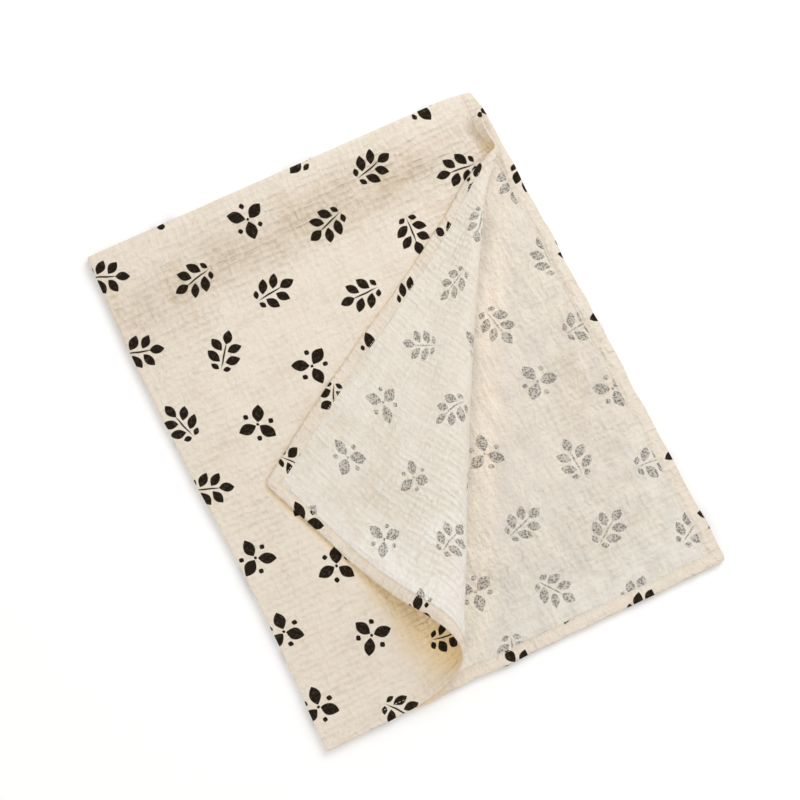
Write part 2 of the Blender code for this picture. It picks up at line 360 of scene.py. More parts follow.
def clothPoints(u, v):
    # places of points of the cloth, and its normal on the printed side there
    near = creases["nearby"]
    alongU = foldedPlace(u + near, v) - foldedPlace(u - near, v)
    alongV = foldedPlace(u, v + near) - foldedPlace(u, v - near)
    normals = np.cross(alongV, alongU)
    normals /= np.linalg.norm(normals, axis=1)[:, None]
    places = wanderEdges(u, v, foldedPlace(u, v)) - stackMiddle
    puckers = softNoise(u, v, creases["puckerSizes"], creases["seed"])
    downward = softNoise(u, v, creases["puckerSizes"][::-1], creases["seed"])
    puckers += (creases["backPucker"] * downward - puckers) * portion(u, *creases["backFrom"])
    ripples = softNoise(places[:, 0], places[:, 1], creases["rippleSizes"], creases["seed"] + 9)
    push = creases["puckerHeight"] * puckers + mounds(u, v, creases["places"])
    places += normals * (portion(v, *creases["upperFrom"]) * push)[:, None]
    places[:, 2] += creases["rippleHeight"] * ripples * np.minimum(1, places[:, 2] / stackHeight)
    return places, normals


# Where the stack's middle is before it is centred, from a grid of points over the whole cloth.
countU, countV = cloth["middlePoints"]
gridU, gridV = np.meshgrid(
    np.linspace(-halfWidth, halfWidth, countU), np.linspace(-halfLength, halfLength, countV))
stackPoints = foldedPlace(gridU.ravel(), gridV.ravel())[:, :2]
stackMiddle = np.array([*(stackPoints.min(0) + stackPoints.max(0)) / 2, 0])


def gridLines(low, high, cell):
    count = max(1, round((high - low) / cell))
    return [low + (high - low) * index / count for index in range(1, count)]


def clothLines(half, foldHalf, lowCell, highCell):
    insets = [*cloth["edgeLines"], *(cloth["hemWidth"] + past for past in cloth["hemLines"])]
    steps = cloth["foldSteps"]
    folds = [foldHalf * (2 * index / steps - 1) for index in range(steps + 1)]
    lines = [side * (half - inset) for side in (-1, 1) for inset in insets] + folds
    lines += gridLines(-half + insets[-1], -foldHalf, lowCell)
    lines += gridLines(foldHalf, half - insets[-1], highCell)
    return sorted(lines)


def flatCloth():
    across = clothLines(halfWidth, sideRadius * math.pi / 2, cloth["fineCell"], cloth["fineCell"])
    along = clothLines(halfLength, topRadius * math.pi / 2, cloth["coarseCell"], cloth["fineCell"])
    mesh = bmesh.new()
    grid = [[mesh.verts.new((u, v, 0)) for u in across] for v in along]
    for lower, upper in zip(grid, grid[1:]):
        for index in range(len(across) - 1):
            mesh.faces.new((lower[index], lower[index + 1], upper[index + 1], upper[index]))
    return mesh


def rulingLines():
    # each ruling of the loop, as the two ends of a straight line in the flat cloth
    upStep, downStep = corner["lineSteps"]
    shares = [("up", rising[index, 0]) for index in range(0, len(rising), upStep)]
    shares += [("down", falling[index, 0]) for index in range(downStep, len(falling), downStep)]
    cornerAcross, cornerDown, _ = foldStack(np.array([halfWidth]), np.array([halfLength]))
    start = (cornerAcross[0] - halfWidth, cornerDown[0] - halfLength)
    for way, share in shares:
        ends = []
        for along in (corner["lineStart"], creaseLength):
            height = loopHeight(along)
            out = (share - loopReach) * height
            if way == "down":
                out = (rising[-1, 0] - loopReach) * height + share * (height - corner["gap"])
            ends.append(creaseStart + along * creaseAlong + out * creaseOut - start)
        yield ends


def scoreLoop(mesh):
    # cuts the mesh along the loop's rulings, so that it bends evenly
    reach = corner["lineReach"] * cloth["fineCell"]
    for first, last in rulingLines():
        normal = Vector((last[1] - first[1], first[0] - last[0], 0)).normalized()
        origin = Vector((first[0], first[1], 0))
        middles = [(face, face.calc_center_median()) for face in mesh.faces]
        near = [face for face, middle in middles
                if middle.x > 0 and middle.y > 0 and abs((middle - origin).dot(normal)) < reach]
        edges = {edge for face in near for edge in face.edges}
        corners = {vertex for face in near for vertex in face.verts}
        bmesh.ops.bisect_plane(
            mesh, geom=[*near, *edges, *corners], dist=1e-6, plane_co=origin, plane_no=normal)
    bmesh.ops.remove_doubles(mesh, verts=mesh.verts, dist=cloth["leastEdge"])
    # finer cells where the hem rises and turns in a small space
    lip = Vector((*corner["creaseTop"], 0))
    near = [face for face in mesh.faces if (face.calc_center_median() - lip).length < corner["lipReach"]]
    edges = list({edge for face in near for edge in face.edges})
    bmesh.ops.subdivide_edges(mesh, edges=edges, cuts=1, use_grid_fill=True)
    bmesh.ops.triangulate(mesh, faces=[face for face in mesh.faces if len(face.verts) > 4])


def hemDepth(u, share=1):
    # how thick the cloth is in its hems, which are squeezed inside the side fold
    share = share * (1 - cloth["squeezed"] * portion(abs(u), cloth["squeezeReach"], 0))
    return cloth["thickness"] + (cloth["hemThickness"] - cloth["thickness"]) * share


def addObject(name, data):
    item = bpy.data.objects.new(name, data)
    bpy.context.scene.collection.objects.link(item)
    return item


def makeCloth():
    mesh = flatCloth()
    scoreLoop(mesh)
    u, v = np.array([vertex.co[:2] for vertex in mesh.verts]).T
    flatMap = mesh.loops.layers.uv.new("flat")
    for face in mesh.faces:
        for loop in face.loops:
            loop[flatMap].uv = (loop.vert.co.x + halfWidth, loop.vert.co.y + halfLength)
    crush = mesh.verts.layers.float.new("crush")
    strengths = np.clip(creases["crush"] + mounds(u, v, crushed), 0, 1)
    for vertex, place, strength in zip(mesh.verts, clothPoints(u, v)[0], strengths):
        vertex.co = place
        vertex[crush] = strength
    bmesh.ops.reverse_faces(mesh, faces=mesh.faces)

    data = bpy.data.meshes.new("swaddleCloth")
    mesh.to_mesh(data)
    mesh.free()
    piece = addObject("swaddleCloth", data)

    wallShare = piece.vertex_groups.new(name="thickness")
    inset = np.minimum(halfWidth - abs(u), halfLength - abs(v))
    width, step, puff = cloth["hemWidth"], cloth["hemStep"], cloth["puffMiddle"]
    thick = hemDepth(u, portion(inset, width + step, width - step))
    puffed = portion(u + v, *cloth["puffFrom"]) * portion(abs(inset - puff), puff, 0)
    thick += (cloth["puffedHem"] - cloth["hemThickness"]) * puffed
    for index, weight in enumerate(thick / cloth["puffedHem"]):
        wallShare.add([index], weight, "REPLACE")

    data.materials.append(rightSide)
    data.materials.append(wrongSide)
    bpy.context.view_layer.objects.active = piece
    piece.select_set(True)
    wall = piece.modifiers.new("wrongSide", "SOLIDIFY")
    wall.thickness = cloth["puffedHem"]
    wall.offset = -1
    wall.vertex_group = wallShare.name
    wall.material_offset = 1
    bpy.ops.object.modifier_apply(modifier=wall.name)
    data.shade_smooth()
    turnHems(data)
    paintGlow(data, u, v)
    piece.select_set(False)
    return piece


glow = {
    "rays": 24,
    "spread": 0.5,
    "start": 0.0004,  # how far off the cloth a ray starts
    "towards": (0.6, 0.41, 0.66),  # the light
    "reach": 0.09,
    "bounceFrom": (-0.75, -0.3, 0.6),
    "bounceReach": 0.06,
    "rounds": 3,  # of smoothing
    # a raised layer that faces away from the light, with its printed side up, is in its own shade
    "facing": (0.57, 0.32),
    "raised": (0.0086, 0.0104),
    "foldReach": (0.004, 0.02),
    "edgeReach": 0.0005,
    "edgeHeight": 0.0165,  # edges below this are in the stack
    "coverReach": 0.004,
}


def rayCone(middle):
    turn = middle.to_track_quat("Z", "Y")
    rays = []
    for index in range(glow["rays"]):
        out = glow["spread"] * math.sqrt((index + 0.5) / glow["rays"])
        around = index * math.pi * (3 - math.sqrt(5))
        rays.append(turn @ Vector((out * math.cos(around), out * math.sin(around), 1)).normalized())
    return rays


def paintGlow(data, u, v):
    # "glow": where the light comes through a layer of gauze first, and so is softer and warmer;
    # "bounce": where it comes back off the loop; "tilt": how the cloth is turned to it
    tree = BVHTree.FromPolygons([vertex.co for vertex in data.vertices],
                                [tuple(face.vertices) for face in data.polygons])
    light = Vector(glow["towards"]).normalized()
    lightRays, bounceRays = rayCone(light), rayCone(Vector(glow["bounceFrom"]))
    count = len(data.vertices)
    painted = {"glow": np.zeros(count), "bounce": np.zeros(count), "tilt": np.zeros(count)}
    for index, vertex in enumerate(data.vertices):
        start = vertex.co + vertex.normal * glow["start"]
        hits = [tree.ray_cast(start, ray, glow["reach"])[0] for ray in lightRays]
        painted["glow"][index] = sum(hit is not None for hit in hits) / len(hits)
        facing = vertex.normal.dot(light)
        if index < count // 2:
            away = portion(facing, *glow["facing"])
            painted["tilt"][index] = away * portion(vertex.co.z, *glow["raised"])
        else:
            painted["tilt"][index] = facing - light.z
            near = [tree.ray_cast(start, ray, glow["bounceReach"])[3] for ray in bounceRays]
            painted["bounce"][index] = sum(
                1 - distance / glow["bounceReach"] for distance in near if distance is not None
            ) / len(near)
    # the folds and edges in the stack have too many layers behind them to glow
    painted["glow"][:count // 2] *= portion(np.minimum(abs(u), abs(v)), *glow["foldReach"])
    lift = Vector((0, 0, glow["start"]))
    inset = np.minimum(halfWidth - abs(u), halfLength - abs(v))
    stacked, covered = [], []
    for index in np.nonzero(inset < glow["edgeReach"])[0]:
        pair = (data.vertices[index].co, data.vertices[index + count // 2].co)
        top = max(pair, key=lambda place: place.z)
        if top.z < glow["edgeHeight"]:
            stacked.append(index)
            above = tree.ray_cast(top + lift, (0, 0, 1), glow["coverReach"])[0]
            covered.append(v[index] < 0 or above is not None)
    edges = np.array([edge.vertices for edge in data.edges])
    for name, values in painted.items():
        for _ in range(glow["rounds"]):
            total, share = values.copy(), np.ones(len(values))
            for first, last in ((0, 1), (1, 0)):
                np.add.at(total, edges[:, first], values[edges[:, last]])
                np.add.at(share, edges[:, first], 1)
            values = total / share
        if name == "glow":
            sides = values.reshape(2, -1)
            sides[:, stacked] = np.where(covered, 0, sides[:, stacked].min(axis=0))
        data.attributes.new(name, "FLOAT", "POINT").data.foreach_set("value", values)


def turnHems(data):
    # a turned hem shows the right side of the cloth past the edge, mirrored
    flatMap = data.uv_layers["flat"]
    for face in data.polygons:
        if face.material_index == 0:
            continue
        total = sum((flatMap.uv[index].vector for index in face.loop_indices), Vector((0, 0)))
        middle = total / face.loop_total
        for axis, size in enumerate((cloth["width"], cloth["length"])):
            if min(size - middle[axis], middle[axis]) < cloth["hemWidth"]:
                edge = size if middle[axis] > size / 2 else 0
                for index in face.loop_indices:
                    place = flatMap.uv[index].vector.copy()
                    place[axis] = 2 * edge - place[axis]
                    flatMap.uv[index].vector = place
                face.material_index = 0
                break


# Short ways to make shader nodes.
def feed(tree, socket, value):
    if isinstance(value, bpy.types.NodeSocket):
        tree.links.new(value, socket)
    else:
        socket.default_value = value


def addNode(tree, kind, settings=None, **inputs):
    node = tree.nodes.new("ShaderNode" + kind)
    for name, value in (settings or {}).items():
        setattr(node, name, value)
    for name, value in inputs.items():
        feed(tree, node.inputs[name], value)
    return node


def inOrder(tree, kind, values, settings=None):
    # the outputs of a node whose inputs are given in order
    node = addNode(tree, kind, settings)
    for socket, value in zip(node.inputs, values):
        feed(tree, socket, value)
    return node.outputs


def calc(tree, operation, *values):
    return inOrder(tree, "Math", values, {"operation": operation})[0]


def vectorCalc(tree, operation, *values):
    return inOrder(tree, "VectorMath", values, {"operation": operation})[0]


def times(tree, first, second):
    return calc(tree, "MULTIPLY", first, second)


def split(tree, vector):
    return addNode(tree, "SeparateXYZ", Vector=vector).outputs


def rescale(tree, value, low, high, newLow=0.0, newHigh=1.0):
    return inOrder(tree, "MapRange", (value, low, high, newLow, newHigh))[0]


def mixColour(tree, factor, first, second, kind="MIX"):
    node = addNode(tree, "Mix", {"data_type": "RGBA", "blend_type": kind})
    for index, value in ((0, factor), (6, first), (7, second)):
        feed(tree, node.inputs[index], value)
    return node.outputs[2]


def shiftOf(tree, node):
    return vectorCalc(tree, "SUBTRACT", node.outputs["Color"], (0.5, 0.5, 0.5))


def attribute(tree, name):
    return addNode(tree, "Attribute", {"attribute_name": name}).outputs["Fac"]


def mapped(tree, vector, kind="POINT", place=(0, 0, 0), turn=0.0, scale=(1, 1, 1)):
    return addNode(tree, "Mapping", {"vector_type": kind}, Vector=vector, Location=place,
                   Rotation=(0, 0, math.radians(turn)), Scale=scale).outputs[0]


def cloudy(tree, vector, scale, detail=2.0, rough=0.5):
    return addNode(
        tree, "TexNoise", Vector=vector, Scale=scale, Detail=detail, Roughness=rough).outputs["Fac"]


def newGroup(name, inputs, outputs):
    group = bpy.data.node_groups.new(name, "ShaderNodeTree")
    group.interface.new_socket("Vector", in_out="INPUT", socket_type="NodeSocketVector")
    for item in inputs:
        group.interface.new_socket(item, in_out="INPUT", socket_type="NodeSocketFloat")
    for item in outputs:
        group.interface.new_socket(item, in_out="OUTPUT", socket_type="NodeSocketFloat")
    return group, group.nodes.new("NodeGroupInput").outputs, group.nodes.new("NodeGroupOutput")


def useGroup(tree, group, *values):
    return inOrder(tree, "Group", values, {"node_tree": group})


# The print: tossed sprigs and three-leaf sprays.
leafPrint = {
    "start": (0.021, 0.013),
    "column": 0.067,
    "row": 0.072,
    "size": 0.94,
    "jitter": 0.01,
    "wobble": 0.0011,
    "wobbleSize": 0.014,
    "drop": 0.5,  # every second column starts lower
    "edge": 0.0003,  # how soft a leaf's edge is
    "sprayShare": 0.42,
    # leaves right of the stem, drawn on both sides of it: x, y, turn, length, width
    "sprig": (
        (0.0, 0.0152, 90, 0.015, 0.0092),
        (0.0088, 0.0056, 38, 0.0152, 0.0088),
        (0.0094, -0.0062, 30, 0.0158, 0.009),
        (0.0, -0.003, 90, 0.029, 0.0017),
        (0.0058, -0.016, 25, 0.0085, 0.0054),
    ),
    "spray": (
        (0.0, 0.0112, 90, 0.0182, 0.0118),
        (0.0098, -0.0056, -32, 0.0182, 0.0114),
        (0.0105, 0.0085, 0, 0.0054, 0.0054),
        (0.0, -0.0135, 0, 0.0056, 0.0056),
        (0.0, 0.0, 0, 0.0032, 0.0032),
    ),
}


def leafShape(tree, place, leaf):
    turn = leaf[2]
    x, y, length, width = (leafPrint["size"] * leaf[index] for index in (0, 1, 3, 4))
    own = split(tree, mapped(tree, place, "TEXTURE", (x, y, 0), turn, (length / 2, width / 2, 1)))
    longways = calc(tree, "POWER", calc(tree, "ABSOLUTE", own[0]), 2.0)
    inside = calc(tree, "ADD", longways, calc(tree, "ABSOLUTE", own[1]))
    soft = leafPrint["edge"] / (width / 2)
    return rescale(tree, inside, 1 + soft, 1 - soft)


def makeLeafPrint():
    tree, given, out = newGroup("tossedLeaves", (), ("Ink",))
    vector = given[0]
    wander = addNode(tree, "TexNoise", Vector=vector, Scale=1 / leafPrint["wobbleSize"], Detail=1.0)
    started = vectorCalc(tree, "ADD", vector, (*leafPrint["start"], 0))
    wobble = vectorCalc(tree, "MULTIPLY", shiftOf(tree, wander), (2 * leafPrint["wobble"],) * 3)
    wobbled = vectorCalc(tree, "ADD", started, wobble)
    flat = split(tree, wobbled)
    columns = calc(tree, "DIVIDE", flat[0], leafPrint["column"])
    column = calc(tree, "FLOOR", columns)
    drop = times(tree, calc(tree, "FLOORED_MODULO", column, 2.0), leafPrint["drop"])
    rows = calc(tree, "ADD", calc(tree, "DIVIDE", flat[1], leafPrint["row"]), drop)
    row = calc(tree, "FLOOR", rows)
    cell = addNode(tree, "CombineXYZ", X=column, Y=row)
    chance = addNode(tree, "TexWhiteNoise", {"noise_dimensions": "3D"}, Vector=cell.outputs[0])
    fromMiddle = [
        times(tree, calc(tree, "SUBTRACT", calc(tree, "SUBTRACT", whole, floor), 0.5), pitch)
        for whole, floor, pitch in ((columns, column, leafPrint["column"]), (rows, row, leafPrint["row"]))]
    local = addNode(tree, "CombineXYZ", X=fromMiddle[0], Y=fromMiddle[1])
    offset = vectorCalc(tree, "MULTIPLY", shiftOf(tree, chance), (leafPrint["jitter"],) * 2 + (0,))
    turned = addNode(
        tree, "VectorRotate", {"rotation_type": "Z_AXIS"},
        Vector=vectorCalc(tree, "SUBTRACT", local.outputs[0], offset),
        Angle=times(tree, chance.outputs["Value"], 2 * math.pi))
    mirrored = vectorCalc(tree, "ABSOLUTE", turned.outputs[0])
    half = addNode(
        tree, "CombineXYZ", X=split(tree, mirrored)[0], Y=split(tree, turned.outputs[0])[1])
    kinds = []
    for name in ("sprig", "spray"):
        shapes = [leafShape(tree, half.outputs[0], leaf) for leaf in leafPrint[name]]
        total = shapes[0]
        for shape in shapes[1:]:
            total = calc(tree, "MAXIMUM", total, shape)
        kinds.append(total)
    pick = calc(tree, "LESS_THAN", addNode(
        tree, "SeparateColor", Color=chance.outputs["Color"]).outputs[2], leafPrint["sprayShare"])
    chosen = addNode(tree, "Mix", {"data_type": "FLOAT"})
    for socket, item in zip(chosen.inputs[:1] + chosen.inputs[2:4], (pick, *kinds)):
        feed(tree, socket, item)
    feed(tree, out.inputs["Ink"], chosen.outputs[0])
    return tree


# The gauze: ribs, puckers and weave.
gauze = {
    "foldBlend": 0.01,  # how near the side fold its two halves blend
    "ribPitch": 0.0064,
    "backRibs": 0.35,
    "lowFlap": (1.48, 1.62),  # where the ribs fade on the turned corner, by u + v
    "lowFlapLess": 0.75,
    "patchSize": 0.03,
    "patches": (0.36, 0.6, 0.25, 0.85),
    "drifts": ((0.04, 0.018, 0.0034), (0.016, 0.009, 0.002)),  # size along u and v, reach
    "furrowSizes": (0.015, 0.005),
    "crossSizes": (0.0046, 0.014),
    "backCross": 2.0,
    "lineSizes": (0.17, 0.02),  # long thin lines where the cloth was once folded
    "lineWidth": 0.07,
    "puffSize": 0.0064,
    "puff": (0.62, 0.1),
    "tacks": (0.45, 0.25),  # how random their places are, and how soft
    "puckerSize": 0.0055,
    "puckerNoise": (2.0, 0.6),
    "pebbleSize": 0.003,
    "pebbleNoise": (3.0, 0.65),
    "thread": 0.00062,
    "threadWaver": (1.2, 1.5),
    "underShadePatchSizes": (0.014, 0.028),
    # how much each adds to the relief: by the crush, and everywhere
    "furrows": (1.3, 0.1),
    "crossings": (1.0, 0.2),
    "puffs": (0.4, 0.22),
    "puckers": 0.4,
    "pebbles": 0.9,
    "weave": 0.05,
    "lines": 0.17,
    "level": (-1.4, 0.3),
    "relief": 0.0015,
}


def bySize(tree, vector, sizes):
    return mapped(tree, vector, scale=(1 / sizes[0], 1 / sizes[1], 1))


def stretched(tree, vector, sizes):
    return cloudy(tree, bySize(tree, vector, sizes), 1.0, 1.0)


def makeGauzeRelief():
    tree, given, out = newGroup("gauzeRelief", ("Crush",), ("Height", "Grain", "Patches"))
    vector, crush = given[0], given[1]
    # the ribs run across the cloth on its right half, and mostly down it on its left half
    place = split(tree, vector)
    blend = gauze["foldBlend"]
    rightHalf = rescale(tree, place[0], halfWidth - blend, halfWidth + blend)
    lowFlap = rescale(tree, calc(tree, "ADD", *place[:2]), *gauze["lowFlap"])
    ribbing = calc(tree, "SUBTRACT", rescale(tree, rightHalf, 0, 1, gauze["backRibs"], 1.0),
                   times(tree, lowFlap, gauze["lowFlapLess"]))
    crossing = rescale(tree, rightHalf, 0, 1, gauze["backCross"], 1.0)
    drifted = vector
    for *sizes, reach in gauze["drifts"]:
        drift = addNode(tree, "TexNoise", Vector=bySize(tree, vector, sizes), Scale=1.0, Detail=1.0)
        drifted = vectorCalc(tree, "MULTIPLY_ADD", shiftOf(tree, drift), (2 * reach,) * 3, drifted)
    patches = cloudy(tree, vector, 1 / gauze["patchSize"], 2.0)
    turns = times(tree, split(tree, drifted)[1], 2 * math.pi / gauze["ribPitch"])
    ribs = calc(tree, "MULTIPLY_ADD", calc(tree, "SINE", turns), 0.5, 0.5)
    ribShare = times(tree, crush, rescale(tree, patches, *gauze["patches"]))
    furrows = stretched(tree, drifted, gauze["furrowSizes"])
    crossings = stretched(tree, drifted, gauze["crossSizes"])
    puckers = cloudy(tree, vector, 1 / gauze["puckerSize"], *gauze["puckerNoise"])
    pebbles = cloudy(tree, vector, 1 / gauze["pebbleSize"], *gauze["pebbleNoise"])
    # the two layers are tacked together every few threads, and puff up between the tacks
    random, soft = gauze["tacks"]
    tacks = addNode(tree, "TexVoronoi", {"feature": "SMOOTH_F1"}, Vector=drifted,
                    Scale=1 / gauze["puffSize"], Randomness=random, Smoothness=soft)
    puffs = rescale(tree, tacks.outputs["Distance"], *gauze["puff"])
    waver, waverScale = gauze["threadWaver"]
    threads = [
        addNode(tree, "TexWave", {"bands_direction": direction}, Vector=vector, Distortion=waver, **{
            "Scale": 2 * math.pi / (20 * gauze["thread"]), "Detail Scale": waverScale}).outputs["Fac"]
        for direction in ("X", "Y")]
    weave = times(tree, *threads)
    lines = []
    for sizes in (gauze["lineSizes"], gauze["lineSizes"][::-1]):
        offset = calc(tree, "SUBTRACT", stretched(tree, vector, sizes), 0.5)
        lines.append(rescale(tree, calc(tree, "ABSOLUTE", offset), gauze["lineWidth"], 0.0))
    height = times(tree, ribs, times(tree, ribShare, ribbing))
    shares = [calc(tree, "MULTIPLY_ADD", crush, *gauze[name]) for name in ("furrows", "crossings", "puffs")]
    parts = (
        (furrows, times(tree, shares[0], ribbing)),
        (crossings, times(tree, shares[1], crossing)),
        (puffs, shares[2]),
        (puckers, gauze["puckers"]),
        (pebbles, gauze["pebbles"]),
        (weave, gauze["weave"]),
        *((line, gauze["lines"]) for line in lines),
    )
    for part, share in parts:
        height = calc(tree, "MULTIPLY_ADD", part, share, height)
    # level about the middle, whatever the crush
    byCrush, less = gauze["level"]
    height = calc(tree, "MULTIPLY_ADD", crush, byCrush, calc(tree, "SUBTRACT", height, less))
    for name, value in (("Height", height), ("Grain", pebbles), ("Patches", patches)):
        feed(tree, out.inputs[name], value)
    return tree


colours = {
    "cream": (0.785, 0.708, 0.602, 1),
    "creamDeep": (0.69, 0.585, 0.465, 1),
    "crinkleShade": (0.86, 0.82, 0.755, 1),
    "ink": (0.014, 0.008, 0.003, 1),
    "inkBack": (0.2, 0.185, 0.165, 1),
    "hemShade": (0.3, 0.24, 0.18, 1),
    "thread": (0.86, 0.8, 0.7, 1),
    "threadDeep": (0.62, 0.54, 0.43, 1),
    "coolBack": (1.0, 1.05, 1.1, 1),
    "paintedUnderShade": (0.905, 0.905, 0.925, 1),
    "bounce": (1.125, 1.105, 1.075, 1),
    "paintedFlapLight": (1.085, 1.115, 1.16, 1),
    "turnedAway": (1.09, 1.1, 1.11, 1),
    "turnedTo": (0.93, 0.925, 0.92, 1),
    "pink": (0.79, 0.695, 0.6, 1),
    "glow": (0.97, 0.76, 0.46, 1),
    "dim": (0.86, 0.815, 0.73, 1),
}
# From where to where each shade comes in, and often how strong it is at both ends.
shades = {
    "troughShadeAndTone": (0.4, 1.1),
    "tonePatchShare": 0.5,
    "crinkleShade": (0.35, 1.0),
    "pinkScale": 26,
    "pink": (0.42, 0.62, 0.0, 0.5),
    "glow": (0.24, 0.86, 0.0, 0.96),
    "ghost": 0.035,
    "coolFlap": (1.36, 1.64, 0.35, 0.95),  # by u + v in the flat map
    "coolFoot": (0.82, 0.98, 0.35, 0.85),  # by v
    "underShadePatches": (0.32, 0.68),
    "bounce": (0.04, 0.16),
    "bounceLess": (0.66, 0.5),
    "bounceDown": (0.58, 0.68),
    "paintedFlapLightMask": (0.22, 0.29),  # by v - u
    "tilt": (-0.4, 0.3),
    "speckleSize": 0.0017,
    "speckle": (0.62, 0.3, 0.35, 1.0),
    "inkGrain": (0.3, 0.5, 0.95, 1.0),
    "brokenScale": 30,
    "broken": (0.44, 0.66, 0.0, 0.34),
}

hem = {
    "stitchInset": 0.0114,
    "reach": 0.016,
    "profile": ((0.0, 0.1), (0.2, 0.85), (0.5, 0.9), (0.712, 0.05), (0.8, 0.42), (1.0, 0.4)),
    "puff": 0.65,
    "puckerReach": 0.026,
    "puckerSizes": (0.015, 0.0046),
    "pucker": 1.2,
    "line": (0.0009, 0.0001),  # the line of shade along its turned edge
}
finish = {"Roughness": 0.92, "Sheen Weight": 0.04, "Sheen Roughness": 0.6, "Specular IOR Level": 0.06}


def newMaterial(name):
    material = bpy.data.materials.new(name)
    material.use_nodes = True
    tree = material.node_tree
    surface = tree.nodes["Principled BSDF"]
    for socket, value in finish.items():
        surface.inputs[socket].default_value = value
    return material, tree, surface


def raiseSurface(tree, surface, height, strength, distance):
    relief = addNode(tree, "Bump", Height=height, Strength=strength, Distance=distance)
    feed(tree, surface.inputs["Normal"], relief.outputs[0])


def tint(tree, factor, base, colour):
    return mixColour(tree, factor, base, colours[colour], "MULTIPLY")


def hemDistances(tree, place):
    # how far a point of the flat map lies inside the side hems and the end hems
    sides = []
    for output, half in zip(split(tree, place), (halfWidth, halfLength)):
        inside = calc(tree, "SUBTRACT", half, calc(tree, "ABSOLUTE", calc(tree, "SUBTRACT", output, half)))
        sides.append(calc(tree, "ABSOLUTE", inside))
    return sides


def ramp(tree, value, stops):
    node = addNode(tree, "ValToRGB", Fac=value)
    node.color_ramp.interpolation = "EASE"
    while len(node.color_ramp.elements) < len(stops):
        node.color_ramp.elements.new(0.5)
    for element, (place, level) in zip(node.color_ramp.elements, stops):
        element.position = place
        element.color = (level, level, level, 1)
    return node.outputs[0]


def hemRelief(tree, place):
    # a puffy band, the groove its stitching pulls in, and the small puckers across it
    near, far = hem["reach"], hem["puckerReach"]
    sides = hemDistances(tree, place)
    across = calc(tree, "DIVIDE", calc(tree, "MINIMUM", *sides), near)
    height = times(tree, ramp(tree, across, hem["profile"]), hem["puff"])
    for side, sizes in zip(sides, (hem["puckerSizes"], hem["puckerSizes"][::-1])):
        puckers = calc(tree, "SUBTRACT", stretched(tree, place, sizes), 0.5)
        share = rescale(tree, side, far, hem["stitchInset"], 0.0, hem["pucker"])
        height = calc(tree, "MULTIPLY_ADD", puckers, share, height)
    return height


def makeGauzeMaterial(name, wrong):
    material, tree, surface = newMaterial(name)
    place = addNode(tree, "UVMap", {"uv_map": "flat"}).outputs[0]
    crush, tilt = attribute(tree, "crush"), attribute(tree, "tilt")
    height, grain, patches = useGroup(tree, gauzeRelief, place, crush)
    # painted shade: darker cream (creamDeep) in the troughs of the relief, mixed with patches of random
    # tone
    troughShadeAndTone = calc(tree, "MULTIPLY_ADD", patches, shades["tonePatchShare"], height)
    base = mixColour(tree, rescale(tree, troughShadeAndTone, *shades["troughShadeAndTone"]), colours["creamDeep"], colours["cream"])
    # painted shade, darker where the gauze is most crinkled
    base = tint(tree, rescale(tree, crush, *shades["crinkleShade"]), base, "crinkleShade")
    pink = rescale(tree, cloudy(tree, place, shades["pinkScale"], 2.0), *shades["pink"])
    base = mixColour(tree, pink, base, colours["pink"])
    across, down, _ = split(tree, place)
    under = rescale(tree, across, halfWidth + gauze["foldBlend"], halfWidth - gauze["foldBlend"])
    lit = rescale(tree, attribute(tree, "glow"), *shades["glow"])
    if wrong:
        lit = times(tree, lit, under)
    base = mixColour(tree, lit, base, colours["glow"])
    if not wrong:
        base = tint(tree, tilt, base, "dim")
    ink = useGroup(tree, tossedLeaves, place)[0]
    # what is printed on the layer below shows through as a faint shade
    below = vectorCalc(tree, "MULTIPLY_ADD", place, (-1, 1, 1), (cloth["width"], 0, 0))
    ghost = times(tree, useGroup(tree, tossedLeaves, below)[0], shades["ghost"])
    base = mixColour(tree, ghost, base, colours["inkBack"])
    if wrong:
        base = shadeWrongSide(tree, base, place, across, down, under, tilt, ink)
    else:
        printed = times(tree, ink, rescale(tree, grain, *shades["inkGrain"]))
        base = mixColour(tree, printed, base, colours["ink"])
    feed(tree, surface.inputs["Base Color"], base)
    height = calc(tree, "ADD", height, hemRelief(tree, place))
    raiseSurface(tree, surface, height, 1.0, gauze["relief"])
    return material


